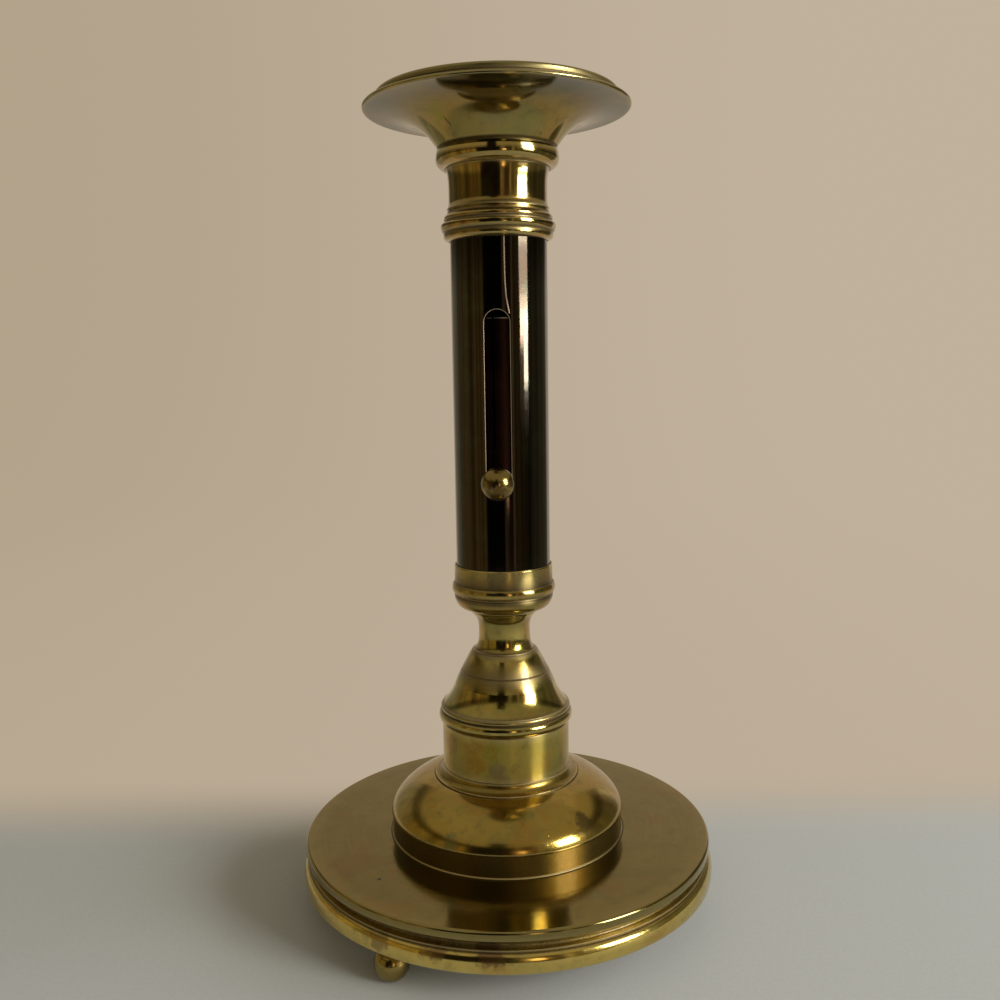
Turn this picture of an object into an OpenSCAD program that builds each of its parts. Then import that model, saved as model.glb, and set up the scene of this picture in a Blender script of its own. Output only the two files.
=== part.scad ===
// Push-up candlestick: a bronzed barrel on a turned stem, with a sliding candle cup inside.
// Millimetres, +Z up, origin on the table under the axis. The slot and its knob face -Y.

/* [Feet] */
// Diameter of each ball foot
foot_d = 9.4; // [8:0.1:12]
// Height of the worn flat cut off the bottom of each ball
foot_flat = 0.15; // [0.1:0.05:0.4]
// Height of the neck between a ball and the base ring
foot_neck_h = 0.45; // [0.2:0.05:1.5]
// Diameter of that neck
foot_neck_d = 5.5; // [5:0.5:7]
// How far the feet stand in from the largest radius of the base ring
foot_inset = 5.5; // [4.5:0.1:8]
// Diameter of the screwed spigot on each foot
foot_spigot_d = 4; // [3:0.5:4.5]
// Length of the spigot inside the base ring
foot_spigot_h = 4.5; // [3:0.5:5.5]

/* [Base] */
// Largest radius of the moulded base ring
base_r = 60; // [59:0.5:66]
// Height of the base ring
base_ring_h = 8.05; // [7.5:0.05:11]
// Width of the base ring, from its hollow out to its largest radius
base_ring_w = 12; // [11:0.5:16]
// Height of the rounded lower moulding of the ring
ovolo_h = 5; // [4:0.1:5.5]
// Rounding of its lower edge
edge_round = 0.6; // [0.3:0.1:1.2]
// How far the rounded moulding stands out past the step above it
ovolo_out = 1.7; // [1:0.1:2.5]
// Depth of the cove under the plate
cove_depth = 1.5; // [0.8:0.1:2]
// How far the edge of the flat base plate stands in from that radius
plate_inset = 0.9; // [0.5:0.1:1.6]
// Thickness of the base plate
plate_t = 2.6; // [1.8:0.05:3.5]
// Rounding of the upper corner of the plate
plate_round = 0.9; // [0.4:0.1:1.2]
// Rounding of its lower corner
plate_under_round = 0.4; // [0.2:0.05:0.5]

/* [Dome] */
// Radius of the dome and of the band under it
dome_r = 34.2; // [30:0.2:40]
// Height of the upright band
band_h = 6.8; // [4:0.2:10]
// Height of the dome above the band
dome_h = 10; // [8:0.5:14]
// Width of the flat land left round the flared ring on top of the dome
dome_land_w = 0.4; // [0.2:0.1:1.5]
// How far the rim of the dome stands out past the band
dome_rim_out = 0.3; // [0.1:0.05:0.6]
// Radius of the hole in the top of the dome
dome_hole_r = 14; // [10:0.5:15]
// Thickness of the spun sheet of the dome
dome_sheet_t = 1.2; // [0.8:0.1:1.8]

/* [Stem] */
// Foot radius of the flared ring under the drum
flare_r = 21; // [20:0.1:21.4]
// Height of the flared ring
flare_h = 3; // [2.5:0.1:4]
// Radius of the drum
drum_r = 18.5; // [18:0.1:19]
// Height of the drum
drum_h = 13.3; // [10:0.1:20]
// Wall of the drum tube
drum_wall = 1.2; // [0.8:0.1:2]
// Height of the spigots that centre the drum
drum_spigot_h = 2; // [1:0.5:4]
// Radius of the large bead at the foot of the bell
bell_r = 19.5; // [19.4:0.05:20.5]
// How far the small bead above it stands in from that
bell_bead_inset = 0.6; // [0.3:0.05:0.7]
// Height of both beads together
bell_moulding_h = 5; // [4.4:0.1:6]
// Height of the rounded shoulder above them
bell_shoulder_h = 6.2; // [5:0.1:9]
// Radius at the foot of the straight cone
cone_low_r = 14.5; // [13.5:0.1:16]
// Radius at the top of the straight cone
cone_top_r = 9.7; // [9:0.1:11]
// Height of the straight cone
cone_h = 9.7; // [7:0.1:13]
// Distance of the middle incised line above the foot of the cone
cone_line_up = 3.6; // [2:0.1:5]
// Height of the cove between the cone and the neck
cone_cove_h = 6.3; // [4:0.1:8]
// Smallest radius of the neck
stem_neck_r = 7.45; // [6.5:0.05:8.4]
// Height of the flare from the neck up to the ferrule
stem_flare_h = 6; // [4:0.1:8]
// Radius of the top of the neck
stem_top_r = 10.1; // [8.6:0.1:10.4]
// Width of the incised lines
line_w = 0.5; // [0.3:0.1:0.8]
// Depth of the incised lines
line_depth = 0.25; // [0.1:0.05:0.4]

/* [Ferrule] */
// Height of the ferrule that holds the foot of the barrel
ferrule_h = 12.9; // [12.5:0.1:18]
// Thickness of the ferrule under the barrel
ferrule_floor = 3.4; // [3:0.1:4.5]
// How far the ferrule stands out past the barrel
ferrule_out = 0.6; // [0.5:0.05:1.2]
// How far its bead stands out past that
ferrule_bead_out = 0.8; // [0.3:0.05:1]
// Depth of the middle of the bead under the top of the ferrule
ferrule_bead_down = 6.7; // [4.5:0.1:6.8]
// Height of the bead
ferrule_bead_h = 3; // [2:0.1:3.4]
// Height of the plug inside the foot of the barrel
plug_h = 6; // [4:0.5:10]

/* [Barrel] */
// Outside diameter of the barrel tube
barrel_d = 27; // [26:0.1:28]
// Wall of the barrel tube
barrel_wall = 0.9; // [0.7:0.05:1.1]
// Length of the barrel tube
barrel_len = 103.8; // [96:0.1:130]
// Width of the slot
slot_w = 6.9; // [6:0.1:8]
// Length of the slot from end to end
slot_len = 49.6; // [35:0.1:52]
// Height of the foot of the slot above the foot of the barrel
slot_up = 31.1; // [24:0.1:34]

/* [Socket] */
// Height of the moulded collar at the top of the barrel
collar_h = 8.6; // [8:0.1:12]
// How far the collar reaches down over the barrel
collar_grip = 4; // [3:0.1:4.5]
// How far the round of the collar stands out past the barrel
collar_out = 2.45; // [2.2:0.05:3.2]
// Height of the waisted neck above the collar
neck_h = 10.8; // [6:0.1:14]
// How far the neck stands out past the barrel at its waist
neck_out = 0.15; // [0.12:0.01:0.4]
// How much wider the neck is where it meets the bead
neck_swell = 0.6; // [0.2:0.05:0.8]
// How much wider the foot of the neck is, where it meets the collar
neck_foot_out = 0.5; // [0.2:0.05:0.7]
// Height of that flared foot
neck_foot_h = 1.8; // [1:0.1:3]
// Height of the bead under the drip pan
bead_h = 5.1; // [4.5:0.1:8]
// How far the bead stands out past the barrel
bead_out = 3.5; // [2.6:0.1:4.2]

/* [Drip pan] */
// Radius of the rim of the drip pan
pan_r = 36.5; // [34:0.1:42]
// Height of the rim above the seat of the pan
pan_h = 10.1; // [9:0.1:14]
// Thickness of the rim
pan_rim_t = 1.1; // [0.8:0.1:1.6]
// Radius of the raised lip, at its crest
lip_r = 32.4; // [31.5:0.1:33]
// Height of the lip above the rim
lip_h = 2.9; // [2:0.1:4]
// Width of the lip
lip_w = 1.6; // [1.2:0.1:2]
// How far the hub of the pan stands out past the barrel
hub_out = 2.5; // [2:0.1:3.4]
// How far the neck reaches up into the hub
hub_grip = 3; // [2:0.1:3.4]

/* [Slide] */
// Wall of the sliding candle cup
cup_wall = 0.6; // [0.4:0.05:0.8]
// Wall of the cup's thicker foot, which carries the floor
cup_foot_wall = 0.9; // [0.8:0.05:1]
// How far the cup reaches above the knob
cup_above = 44.2; // [36:0.1:45]
// How far the cup reaches below the knob
cup_below = 6.4; // [5.5:0.1:8]
// Height of the cup floor above the knob
floor_up = 5.2; // [4.8:0.1:8]
// Thickness of the cup floor
floor_t = 1.4; // [1:0.1:2]
// Width of the spring slit in the cup
slit_w = 0.5; // [0.3:0.05:0.8]
// Sideways place of the slit
slit_x = -1.1; // [-2:0.1:2]
// Height of the foot of the slit above the knob
slit_up = 8.6; // [8:0.1:14]
// Diameter of the shoulder that runs in the slot
shoulder_d = 6.2; // [5:0.1:6.4]
// Diameter of the screwed ends of the stud
stud_d = 3.2; // [2.5:0.1:3.6]
// Diameter of the ball knob
knob_d = 9; // [8:0.5:12]
// Gap between the barrel and the ball knob
knob_gap = 1; // [0.6:0.1:1.6]
// Depth of the stud in the ball knob
knob_grip = 3.6; // [2.5:0.1:4]
// Depth of the shoulder's seat in the ball knob
knob_seat = 0.2; // [0.1:0.05:0.5]
// Diameter of the saddle washer inside the cup
saddle_d = 8.4; // [7.6:0.1:9]
// Thickness of the saddle washer on the axis of the stud
saddle_t = 1.6; // [1.4:0.1:2]
// Width across the flats of the nut on the stud
stud_nut_w = 6; // [5.5:0.1:6.5]
// Thickness of the nut on the stud
stud_nut_h = 2; // [1.5:0.1:2.6]
// How far the stud stands out past its nut
stud_tail = 0.6; // [0.3:0.1:1]

/* [Tie rod] */
// Diameter of the rod that holds the stem together
rod_d = 6; // [5:0.5:7]
// How far the rod stands out under its nut
rod_tail = 1; // [0.5:0.1:1.4]
// Diameter of the washer under the base plate
washer_d = 24; // [18:1:30]
// Thickness of that washer
washer_t = 1.4; // [1:0.1:2]
// Width of the nut across its flats
nut_w = 10; // [9:0.5:12]
// Thickness of the nut
nut_h = 4; // [3:0.1:4.5]

/* [Fits] */
// Radial gap between fixed pieces that fit together
seat_gap = 0.1; // [0.05:0.01:0.15]
// Gap round the pieces that slide
slide_gap = 0.3; // [0.25:0.01:0.4]

/* [Hidden] */

// Smoothness of turned pieces and number of points on a curve
turned_fn = 96;
curve_n = 8;

// Heights of the seats, from the table up
ring_z = foot_d - foot_flat + foot_neck_h;
plate_z = ring_z + base_ring_h;
dome_z = plate_z + plate_t;
flare_z = dome_z + band_h + dome_h;
drum_z = flare_z + flare_h;
bell_z = drum_z + drum_h;
cone_z = bell_z + bell_moulding_h + bell_shoulder_h;
cone_top_z = cone_z + cone_h;
stem_waist_z = cone_top_z + cone_cove_h;
ferrule_z = stem_waist_z + stem_flare_h;
barrel_z = ferrule_z + ferrule_floor;
barrel_top_z = barrel_z + barrel_len;
collar_z = barrel_top_z - collar_grip;
neck_z = collar_z + collar_h;
bead_z = neck_z + neck_h;
pan_z = bead_z + bead_h;

// Radii that several pieces share
foot_circle_r = base_r - foot_inset;
base_hollow_r = base_r - base_ring_w;
plate_r = base_r - plate_inset;
dome_land_r = flare_r + dome_land_w;
barrel_r = barrel_d / 2;
hub_r = barrel_r + hub_out;
bore_r = barrel_r - barrel_wall;
socket_r = barrel_r + seat_gap;
cup_r = bore_r - slide_gap;
cup_bore_r = cup_r - cup_wall;
cup_foot_r = cup_r - cup_foot_wall;
rod_hole_r = rod_d / 2 + seat_gap;
drum_bore_r = drum_r - drum_wall;
drum_spigot_r = drum_bore_r - seat_gap;

// The slot and the stud that runs in it
slot_z = barrel_z + slot_up;
stud_z = slot_z + shoulder_d / 2 + slide_gap;
knob_y = -(barrel_r + knob_gap + knob_d / 2);
knob_back_y = knob_y + knob_d / 2;
shoulder_y = knob_back_y - knob_seat;
saddle_y = -(cup_foot_r - saddle_t);
floor_z = stud_z + floor_up;

brass = [0.66, 0.53, 0.26];
bronzed = [0.13, 0.09, 0.07];
steel = [0.55, 0.55, 0.56];

// Points of an elliptical arc about c, from angle a to angle b
function arc(c, rx, rz, a, b, n = curve_n) =
    [for (i = [0:n]) let (t = a + (b - a) * i / n) [c[0] + rx * cos(t), c[1] + rz * sin(t)]];

// Points of a cubic curve from p to s, drawn towards q and r
function curve(p, q, r, s, n = curve_n) =
    [for (i = [0:n]) let (t = i / n, u = 1 - t)
        u * u * u * p + 3 * u * u * t * q + 3 * u * t * t * r + t * t * t * s];

// The three cuts of an incised line on an outline that runs from p towards q
function incised(p, q, w = line_w, d = line_depth) =
    let (v = (q - p) / norm(q - p), in = [-abs(v[1]), sign(v[1]) * v[0]])
    [p - v * w / 2, p + in * d, p + v * w / 2];

// A turned piece whose half outline is a list of [radius, height] points
module turned(outline, z = 0) {
    translate([0, 0, z]) rotate_extrude($fn = turned_fn) polygon(outline);
}

// A rod or a hole along -Y, from depth y0 to depth y1
module cross_rod(d, y0, y1, z, sides = 48) {
    translate([0, y0, z]) rotate([90, 0, 0]) cylinder(d = d, h = y0 - y1, $fn = sides);
}

module at_foot(i) {
    rotate([0, 0, 120 * (i - 1)]) translate([foot_circle_r, 0, 0]) children();
}

module ball_foot(i) {
    ball_z = foot_d / 2 - foot_flat;
    color(brass) at_foot(i) {
        difference() {
            union() {
                translate([0, 0, ball_z]) sphere(d = foot_d, $fn = 48);
                translate([0, 0, ball_z]) cylinder(d = foot_neck_d, h = ring_z - ball_z, $fn = 48);
            }
            translate([0, 0, -foot_d]) cube([2 * foot_d, 2 * foot_d, 2 * foot_d], center = true);
        }
        translate([0, 0, ring_z]) cylinder(d = foot_spigot_d, h = foot_spigot_h, $fn = 48);
    }
}

module base_ring() {
    step_r = base_r - ovolo_out;
    step_h = 0.5;
    full_h = ovolo_h * 0.3;
    cove_foot = [step_r - 0.2, ovolo_h + step_h];
    cove_top = [step_r - 0.4, base_ring_h];
    cove_rise = (base_ring_h - cove_foot[1]) / 2;
    outline = concat(
        [[base_hollow_r, 0]],
        arc([base_r - edge_round, edge_round], edge_round, edge_round, -90, 0, 4),
        curve([base_r, full_h], [base_r, ovolo_h * 0.68], [step_r + ovolo_out * 0.6, ovolo_h * 0.96],
            [step_r, ovolo_h]),
        [[step_r, ovolo_h + step_h]],
        curve(cove_foot, cove_foot - [cove_depth, 0], cove_top - [cove_depth, cove_rise], cove_top),
        [[base_hollow_r, base_ring_h]]);
    color(brass) difference() {
        turned(outline, ring_z);
        for (i = [1:3]) at_foot(i) translate([0, 0, ring_z - 1])
            cylinder(d = foot_spigot_d + 2 * seat_gap, h = foot_spigot_h + 1 + seat_gap, $fn = 48);
    }
}

module base_plate() {
    under = plate_under_round;
    outline = concat(
        [[rod_hole_r, 0]],
        arc([plate_r - under, under], under, under, -90, 0, 4),
        arc([plate_r - plate_round, plate_t - plate_round], plate_round, plate_round, 0, 90),
        [[rod_hole_r, plate_t]]);
    color(brass) turned(outline, dome_z - plate_t);
}

module foot_dome() {
    t = dome_sheet_t;
    span = dome_r - dome_land_r;
    top_h = band_h + dome_h;
    band_r = dome_r - dome_rim_out;
    rim_foot_h = band_h - dome_rim_out;
    // The dome's two sheets run along the same curve, the inner one t further in.
    low_pull = [span * 0.05, dome_h * 0.33];
    high_pull = [span * 0.55, -dome_h * 0.2];
    rim = [dome_r, band_h];
    crown = [dome_land_r, top_h];
    inner_rim = rim - [t, 0];
    inner_crown = crown - [0, t];
    outline = concat(
        [[inner_rim[0], 0], [band_r, 0], [band_r, rim_foot_h - dome_rim_out], [dome_r, rim_foot_h]],
        curve(rim, rim + [-low_pull[0], low_pull[1]], crown + high_pull, crown, 16),
        [[dome_hole_r, top_h], [dome_hole_r, top_h - t]],
        curve(inner_crown, inner_crown + high_pull, inner_rim + [-low_pull[0], low_pull[1]], inner_rim, 16));
    color(brass) turned(outline, dome_z);
}

module flare_ring() {
    edge_h = 0.5;
    outline = concat(
        [[dome_hole_r, 0], [flare_r, 0]],
        arc([flare_r, flare_h], flare_r - drum_r, flare_h - edge_h, -90, -180),
        [[drum_spigot_r, flare_h], [drum_spigot_r, flare_h + drum_spigot_h],
            [dome_hole_r, flare_h + drum_spigot_h]]);
    color(brass) turned(outline, flare_z);
}

module stem_drum() {
    color(brass) turned([[drum_bore_r, 0], [drum_r, 0], [drum_r, drum_h], [drum_bore_r, drum_h]], drum_z);
}

module stem_bell() {
    // Two beads at the foot, the lower one larger, with a seam under each and under the shoulder
    seam = 0.1;
    low_bead_top = bell_moulding_h * 0.64;
    low_bead_deep = 0.9;
    low_bead_half = (low_bead_top - 2 * seam) / 2;
    low_bead = [bell_r - low_bead_deep, low_bead_top - low_bead_half];
    top_bead_deep = 0.7;
    top_bead_half = (bell_moulding_h - low_bead_top) / 2 - seam;
    top_bead = [bell_r - bell_bead_inset - top_bead_deep, bell_moulding_h - seam - top_bead_half];
    foot_bore_r = drum_spigot_r - 3;
    recess_r = drum_spigot_r - 5;
    cone_foot = [cone_low_r, bell_moulding_h + bell_shoulder_h];
    cone_top = [cone_top_r, cone_foot[1] + cone_h];
    line_at = cone_foot + (cone_top - cone_foot) * cone_line_up / cone_h;
    shoulder = [bell_r - 1, bell_moulding_h];
    // The cone's upper edge is rounded off, and the line lies on what is left of it.
    edge_in = 0.45;
    edge_h = 1.6;
    lip = cone_top - [edge_in, 0];
    lip_foot = cone_top + (cone_foot - cone_top) * edge_h / cone_h;
    neck_foot = lip + [-line_depth * 2, line_w / 2];
    waist = [stem_neck_r, cone_top[1] + cone_cove_h];
    top = [stem_top_r, waist[1] + stem_flare_h];
    outline = concat(
        [[foot_bore_r, -drum_spigot_h], [drum_spigot_r, -drum_spigot_h], [drum_spigot_r, 0],
            [drum_r - seam, 0], [drum_r, 2 * seam]],
        arc(low_bead, low_bead_deep, low_bead_half, -75, 70),
        arc(top_bead, top_bead_deep, top_bead_half, -65, 70, 6),
        curve(shoulder, shoulder + [-1.5, bell_shoulder_h * 0.15],
            cone_foot + [0.8, -bell_shoulder_h * 0.43], cone_foot, 12),
        incised(line_at, cone_top),
        [lip_foot],
        incised(lip, lip + [-1, 1]),
        curve(neck_foot, neck_foot + [-1.1, 1], [stem_neck_r, neck_foot[1] + cone_cove_h * 0.4], waist),
        curve(waist, [stem_neck_r, waist[1] + stem_flare_h * 0.7],
            [stem_top_r - 0.3, top[1] - stem_flare_h * 0.3], top),
        [[rod_hole_r, top[1]], [rod_hole_r, cone_foot[1]], [recess_r, bell_moulding_h]]);
    color(brass) turned(outline, bell_z);
}

module lower_ferrule() {
    side_r = barrel_r + ferrule_out;
    bowl_r = side_r + 0.1;
    bowl_round = 1.9;
    fillet = 0.3;
    bead_z = ferrule_h - ferrule_bead_down;
    bead_foot_z = bead_z - ferrule_bead_h / 2;
    fillet_foot_z = bead_foot_z - fillet;
    line_z = fillet_foot_z - line_w / 2;
    mouth_r = side_r - fillet / 2;
    outline = concat(
        [[rod_hole_r, 0]],
        curve([stem_top_r, 0], [bowl_r - bowl_round, 0], [bowl_r - fillet, bowl_round / 2],
            [bowl_r, line_z - line_w]),
        incised([bowl_r, line_z], [bowl_r, bead_z]),
        [[bowl_r + fillet / 2, fillet_foot_z], [bowl_r + fillet / 2, bead_foot_z]],
        arc([side_r, bead_z], ferrule_bead_out, ferrule_bead_h / 2, -60, 80),
        [[side_r, bead_z + ferrule_bead_h / 2], [side_r, ferrule_h - fillet],
            [mouth_r, ferrule_h], [socket_r, ferrule_h], [socket_r, ferrule_floor],
            [rod_hole_r, ferrule_floor]]);
    color(brass) turned(outline, ferrule_z);
}

module barrel_plug() {
    color(brass) turned([[rod_hole_r - seat_gap / 2, 0], [bore_r - seat_gap, 0],
        [bore_r - seat_gap, plug_h - 1], [bore_r - seat_gap - 1, plug_h],
        [rod_hole_r - seat_gap / 2, plug_h]], barrel_z);
}

module slot_cut() {
    r = slot_w / 2;
    outline = concat(arc([0, r], r, r, 180, 360, 24), arc([0, slot_len - r], r, r, 0, 180, 24));
    translate([0, 0, slot_z]) rotate([90, 0, 0]) linear_extrude(height = barrel_d) polygon(outline);
}

module barrel_tube() {
    color(bronzed) difference() {
        turned([[bore_r, 0], [barrel_r, 0], [barrel_r, barrel_len], [bore_r, barrel_len]], barrel_z);
        slot_cut();
    }
}

module upper_collar() {
    // A low round and the large round, parted by an incised line, then a small bead and a cove
    round_r = barrel_r + collar_out;
    round_deep = 1.2;
    round_low = 1.95;
    round_high = 1.8;
    round_at = [round_r - round_deep, collar_h * 0.535];
    line_z = round_at[1] - round_low - line_w;
    line_r = round_r - round_deep * 0.6;
    foot = [barrel_r + 0.15, 0];
    low_top = [line_r, line_z];
    bead_deep = 0.4;
    bead_half = 0.4;
    bead_inset = 0.5;
    bead_at = [round_r - bead_inset - bead_deep, collar_h * 0.785];
    cove_foot = [bead_at[0], bead_at[1] + bead_half];
    cove_top = [barrel_r + neck_out + neck_foot_out, collar_h];
    outline = concat(
        [[socket_r, 0]],
        curve(foot, foot + [0.3, 0.3], low_top + [-0.3, -0.9], low_top),
        [[line_r - line_depth, line_z + line_w / 2]],
        arc(round_at, round_deep, round_low, -62, 0),
        arc(round_at, round_deep, round_high, 10, 60),
        arc(bead_at, bead_deep, bead_half, -60, 80, 6),
        curve(cove_foot, cove_foot + [-0.5, 0.2], cove_top + [0.1, -0.4], cove_top, 4),
        [[socket_r, collar_h]]);
    color(brass) turned(outline, collar_z);
}

module neck_sleeve() {
    low = barrel_top_z - neck_z;
    waist_r = barrel_r + neck_out;
    top_r = waist_r + neck_swell;
    outline = concat(
        [[bore_r, low], [barrel_r, low], [barrel_r, 0]],
        curve([waist_r + neck_foot_out, 0], [waist_r + neck_foot_out * 0.4, neck_foot_h * 0.35],
            [waist_r, neck_foot_h * 0.6], [waist_r, neck_foot_h], 6),
        curve([waist_r, neck_h * 0.4], [waist_r, neck_h * 0.6], [waist_r, neck_h * 0.85], [top_r, neck_h]),
        [[barrel_r, neck_h], [barrel_r, neck_h + bead_h + hub_grip], [bore_r, neck_h + bead_h + hub_grip]]);
    color(brass) turned(outline, neck_z);
}

module bead_ring() {
    round_r = barrel_r + bead_out;
    under_deep = bead_out * 0.62;
    // The round is full underneath and keeps a squarer shoulder under the pan.
    top_deep = 0.7;
    face = 76;
    outline = concat(
        [[socket_r, 0], [round_r - under_deep * (1 - cos(face)) - 0.3, 0]],
        arc([round_r - under_deep, bead_h / 2], under_deep, bead_h / 2, -face, 0),
        arc([round_r - top_deep, bead_h / 2], top_deep, bead_h / 2, 10, face),
        [[hub_r, bead_h], [socket_r, bead_h]]);
    color(brass) turned(outline, bead_z);
}

module drip_pan() {
    rim_top = pan_h + pan_rim_t;
    rim_half = pan_rim_t / 2;
    lip_half = lip_w / 2;
    lip_top = rim_top + lip_h;
    step = 0.3;
    step_r = lip_r + lip_half + step;
    // The flare rises upright from the hub, then turns out and runs up gently to the rim.
    flare_foot = [hub_r, 0];
    flare_end = [pan_r - rim_half, pan_h];
    flare_span = flare_end[0] - flare_foot[0];
    dish_foot = [bore_r, hub_grip + 0.9];
    dish_end = [lip_r - lip_half - 2 * step, rim_top - 0.2];
    outline = concat(
        [[socket_r, 0]],
        curve(flare_foot, flare_foot + [0, 0.57 * pan_h],
            flare_end - [0.35 * flare_span, 0.26 * pan_h], flare_end, 16),
        arc([pan_r - rim_half, pan_h + rim_half], rim_half, rim_half, -80, 90, 6),
        [[step_r + step, rim_top], [step_r, rim_top + step]],
        arc([lip_r, lip_top - lip_half], lip_half, lip_half, 0, 180),
        [[lip_r - lip_half, rim_top]],
        curve(dish_end, dish_end - [0.4 * flare_span, 0.26 * pan_h], dish_foot + [3.4, 0.7], dish_foot, 14),
        [[bore_r, hub_grip], [socket_r, hub_grip]]);
    color(brass) turned(outline, pan_z);
}

module tie_rod() {
    low_z = plate_z - washer_t - nut_h - rod_tail;
    top_z = barrel_z + plug_h - 0.5;
    color(steel) translate([0, 0, low_z]) cylinder(d = rod_d, h = top_z - low_z, $fn = 48);
}

module tie_washer() {
    color(steel) turned([[rod_hole_r, 0], [washer_d / 2, 0], [washer_d / 2, washer_t], [rod_hole_r, washer_t]],
        plate_z - washer_t);
}

module tie_nut() {
    color(steel) translate([0, 0, plate_z - washer_t - nut_h]) difference() {
        cylinder(d = nut_w / cos(30), h = nut_h, $fn = 6);
        translate([0, 0, -1]) cylinder(r = rod_hole_r - seat_gap / 2, h = nut_h + 2, $fn = 48);
    }
}

module candle_cup() {
    low_z = stud_z - cup_below;
    cup_h = cup_below + cup_above;
    ledge_h = floor_z + floor_t - low_z;
    color(brass) difference() {
        turned([[cup_foot_r, 0], [cup_r, 0], [cup_r, cup_h], [cup_bore_r, cup_h],
            [cup_bore_r, ledge_h], [cup_foot_r, ledge_h]], low_z);
        cross_rod(stud_d + 2 * seat_gap, 0, -barrel_d, stud_z);
        translate([slit_x - slit_w / 2, -barrel_d, stud_z + slit_up]) cube([slit_w, barrel_d, cup_above]);
    }
}

module cup_floor() {
    rim_r = cup_foot_r - seat_gap;
    color(brass) turned([[0, 0], [rim_r, 0], [rim_r, floor_t], [0, floor_t]], floor_z);
}

module knob_stud() {
    tail_y = saddle_y + stud_nut_h + stud_tail;
    color(brass) {
        cross_rod(stud_d, tail_y, knob_back_y - knob_grip, stud_z);
        difference() {
            cross_rod(shoulder_d, -cup_foot_r, shoulder_y, stud_z);
            turned([[0, -shoulder_d], [cup_r, -shoulder_d], [cup_r, shoulder_d], [0, shoulder_d]], stud_z);
        }
    }
}

module saddle_washer() {
    color(brass) difference() {
        intersection() {
            cross_rod(saddle_d, saddle_y, -barrel_d, stud_z);
            turned([[0, -saddle_d], [cup_foot_r, -saddle_d], [cup_foot_r, saddle_d], [0, saddle_d]], stud_z);
        }
        cross_rod(stud_d + 2 * seat_gap, 0, -barrel_d, stud_z);
    }
}

module stud_nut() {
    color(brass) difference() {
        cross_rod(stud_nut_w / cos(30), saddle_y + stud_nut_h, saddle_y, stud_z, 6);
        cross_rod(stud_d + seat_gap, 0, -barrel_d, stud_z);
    }
}

module slide_knob() {
    color(brass) difference() {
        translate([0, knob_y, stud_z]) sphere(d = knob_d, $fn = 48);
        cross_rod(shoulder_d + 2 * seat_gap, 0, shoulder_y, stud_z);
        cross_rod(stud_d + seat_gap, 0, knob_back_y - knob_grip - seat_gap, stud_z);
    }
}

ball_foot(1);  // ball_foot_1
ball_foot(2);  // ball_foot_2
ball_foot(3);  // ball_foot_3
base_ring();
base_plate();
foot_dome();
flare_ring();
stem_drum();
stem_bell();
lower_ferrule();
barrel_plug();
barrel_tube();
upper_collar();
neck_sleeve();
bead_ring();
drip_pan();
tie_rod();
tie_washer();
tie_nut();
candle_cup();
cup_floor();
knob_stud();
saddle_washer();
stud_nut();
slide_knob();
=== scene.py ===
import math

import bpy
import numpy as np
from mathutils import Matrix, Vector


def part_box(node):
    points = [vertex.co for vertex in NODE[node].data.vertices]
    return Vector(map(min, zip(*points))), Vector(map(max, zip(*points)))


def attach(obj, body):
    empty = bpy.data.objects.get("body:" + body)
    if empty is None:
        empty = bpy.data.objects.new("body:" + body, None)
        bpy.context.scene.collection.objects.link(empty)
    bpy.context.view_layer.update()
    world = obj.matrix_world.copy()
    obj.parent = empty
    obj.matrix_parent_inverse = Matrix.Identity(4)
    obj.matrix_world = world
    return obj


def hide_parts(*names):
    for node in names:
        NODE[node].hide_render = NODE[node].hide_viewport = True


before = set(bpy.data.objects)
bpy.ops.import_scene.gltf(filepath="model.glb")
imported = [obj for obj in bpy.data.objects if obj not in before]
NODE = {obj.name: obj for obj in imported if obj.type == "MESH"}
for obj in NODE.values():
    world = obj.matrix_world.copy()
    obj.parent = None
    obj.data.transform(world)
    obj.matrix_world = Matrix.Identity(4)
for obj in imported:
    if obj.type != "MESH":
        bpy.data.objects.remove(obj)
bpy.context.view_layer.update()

# Outlines are in millimetres, as in the part's source. The stage and the camera are in metres.
MM = 0.001
BARREL_R = 13.5
BORE_R = 12.6
SOCKET_R = 13.6
HUB_R = 16.0
ROD_HOLE_R = 3.1
SPIGOT_R = 17.2
DRUM_R = 18.5
BASE_R = 60.0
SLOT_W = 6.9
SLOT_LEN = 49.6
SLOT_UP = 31.1
KNOB_R = 4.5
# The camera stands this many degrees to the right of the slot.
AZ = 3.6

# A point nearer the axis than this lies on it, in millimetres.
ON_AXIS = 1e-6
# How far dirt and painted shade spread from a hollow and wear from an edge, in millimetres, and how strongly
# each tells.
DIRT_AND_SHADE_REACH = 0.55
DIRT_AND_SHADE_GAIN = 1.5
WEAR_REACH = 0.3
WEAR_GAIN = 1.0


def foot_z(node):
    """Height of a node's lowest point, in millimetres."""
    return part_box(node)[0].z / MM


def top_z(node):
    """Height of a node's highest point, in millimetres."""
    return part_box(node)[1].z / MM


def arc(centre, rx, rz, start, end, n=14):
    """Points of an arc, whose angles are in degrees."""
    angles = np.radians(np.linspace(start, end, n + 1))
    return [(centre[0] + rx * math.cos(a), centre[1] + rz * math.sin(a)) for a in angles]


def curve(p, q, r, s, n=18):
    """Points of a Bezier curve from p to s, pulled towards q and r."""
    p, q, r, s = (np.array(v, float) for v in (p, q, r, s))
    return [tuple((1 - t) ** 3 * p + 3 * (1 - t) ** 2 * t * q + 3 * (1 - t) * t * t * r + t ** 3 * s)
            for t in np.linspace(0, 1, n + 1)]


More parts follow.
